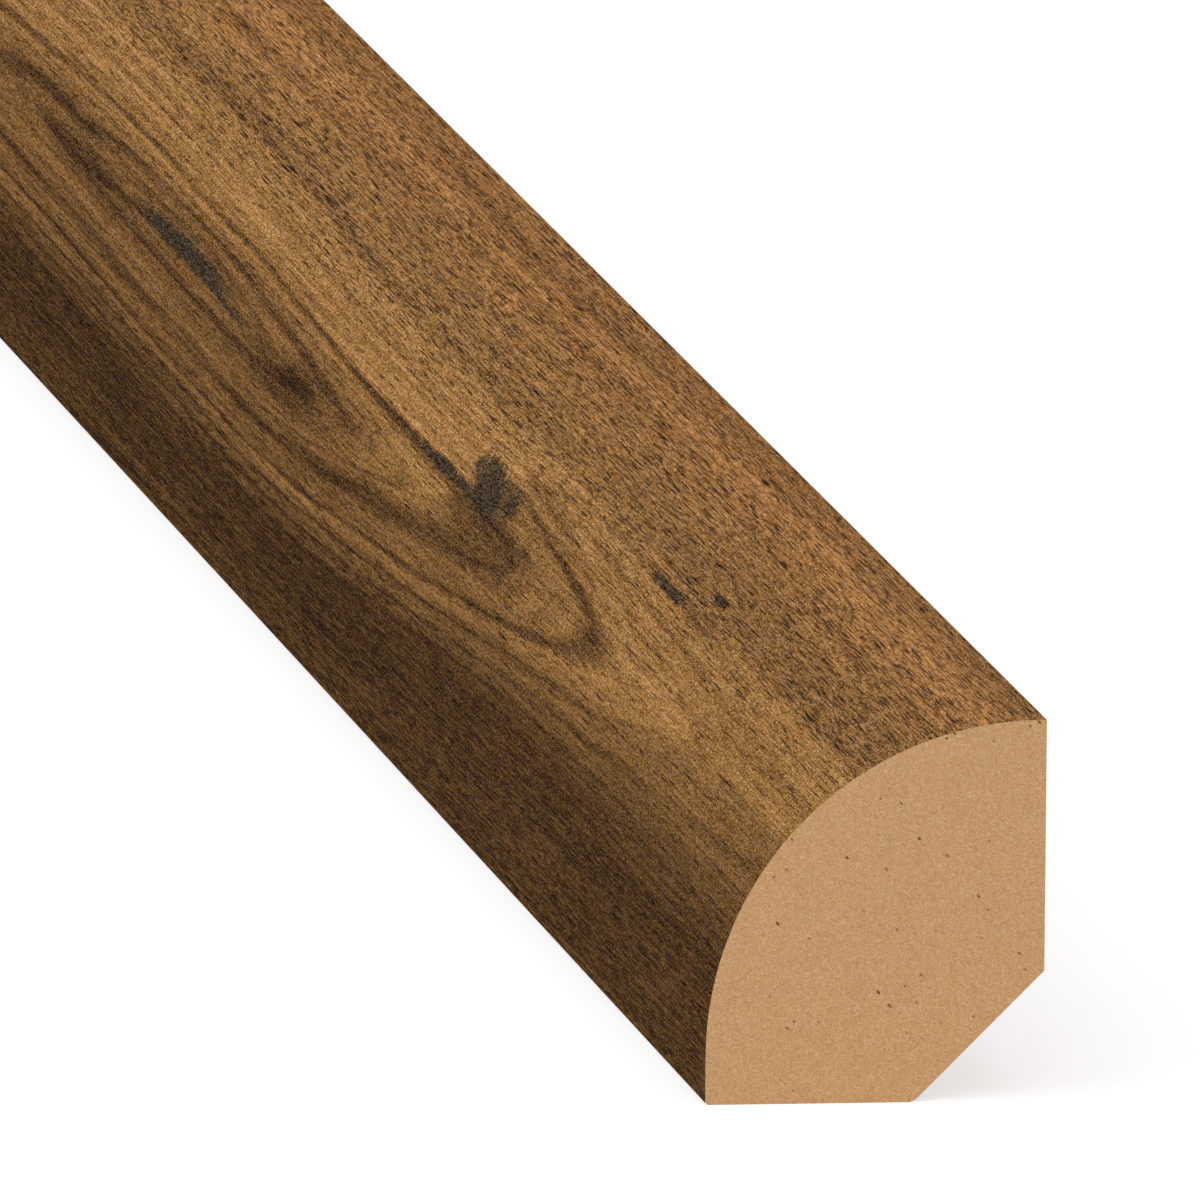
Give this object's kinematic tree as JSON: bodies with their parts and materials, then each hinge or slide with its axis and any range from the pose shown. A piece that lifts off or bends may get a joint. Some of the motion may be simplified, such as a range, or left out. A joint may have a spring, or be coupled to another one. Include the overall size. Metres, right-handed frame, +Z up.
{
  "type": "quarter round moulding",
  "caption": "Straight length of quarter round floor trim: a fibreboard stick with a chamfered heel, its rounded show face wrapped in walnut-print foil.",
  "frame": {"origin": "on the floor plane, under the middle of the stick's bounding box", "axes": "+Y along the stick, +X out of the face that goes against the wall, +Z up from the face that lies on the floor"},
  "size_m": [0.0168, 2.3876, 0.0191],
  "materials": {
    "fibreboard": "raw sawn and milled medium density fibreboard, tan, matt",
    "walnut_foil": "printed walnut grain on thin wrapping foil, satin"
  },
  "bodies": {
    "root": {"mdf_core": "fibreboard", "decor_foil": "walnut_foil"}
  },
  "joints": []
}
